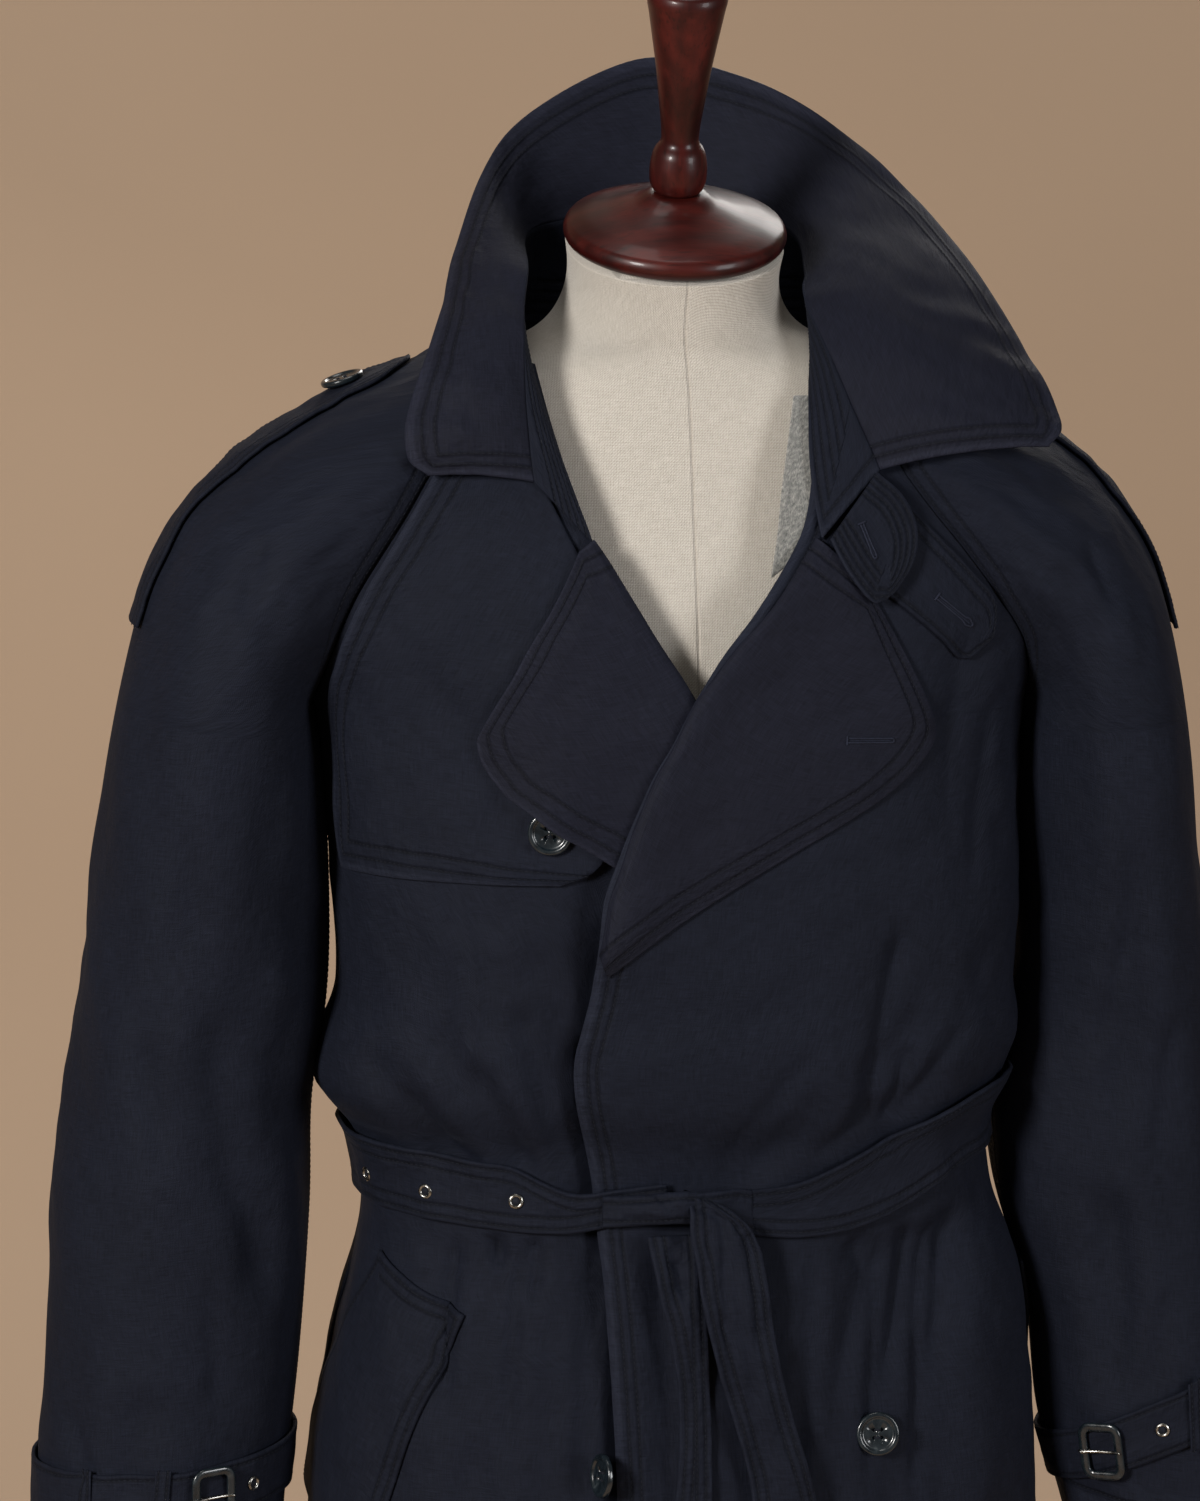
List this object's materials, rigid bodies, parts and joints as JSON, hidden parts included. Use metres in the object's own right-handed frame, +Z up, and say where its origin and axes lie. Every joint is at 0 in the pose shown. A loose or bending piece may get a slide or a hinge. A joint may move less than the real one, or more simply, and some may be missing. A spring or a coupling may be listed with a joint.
{
  "type": "trench coat on dress form",
  "caption": "Belted trench coat with raglan sleeves, open lapels and a turned-up collar, worn on a limbless linen dress form with a turned wood cap, handle, pole and round base.",
  "frame": {"origin": "on the floor under the centre of the round base", "axes": "+Z up, -Y to the front of the coat, +X to the wearer's left"},
  "size_m": [0.716, 0.38, 1.7397],
  "materials": {
    "cloth": "matt navy weave with a faint sheen",
    "wool": "matt grey heathered wool",
    "linen": "matt natural linen weave",
    "wood": "gloss varnish on dark red-brown turned wood",
    "horn": "marbled, dark blue-green and grey",
    "metal": "nickel plated"
  },
  "bodies": {
    "root": {"back": "cloth", "belt_band": "cloth", "belt_knot": "cloth", "belt_tail_back": "cloth", "belt_tail_front": "cloth", "chest_tab": "cloth", "collar": "cloth", "collar_stand": "cloth", "cuff_strap_left": "cloth", "cuff_strap_right": "cloth", "epaulette_left": "cloth", "epaulette_right": "cloth", "front_left": "cloth", "front_right": "cloth", "lapel_left": "cloth", "lapel_right": "cloth", "sleeve_left": "cloth", "sleeve_right": "cloth", "storm_flap": "cloth", "strap_loop_left_1": "cloth", "strap_loop_left_2": "cloth", "strap_loop_right_1": "cloth", "strap_loop_right_2": "cloth", "throat_tab": "cloth", "welt_left": "cloth", "welt_right": "cloth", "neck_lining": "wool", "form_torso": "linen", "base": "wood", "finial": "wood", "neck_cap": "wood", "pole": "wood", "belt_buckle": "horn", "button_chest": "horn", "button_shoulder_left": "horn", "button_shoulder_right": "horn", "button_skirt_left": "horn", "button_skirt_right": "horn", "cuff_buckle_left": "horn", "cuff_buckle_right": "horn", "belt_eyelet_1": "metal", "belt_eyelet_2": "metal", "belt_eyelet_3": "metal", "strap_eyelet_left": "metal", "strap_eyelet_right": "metal"}
  },
  "joints": []
}
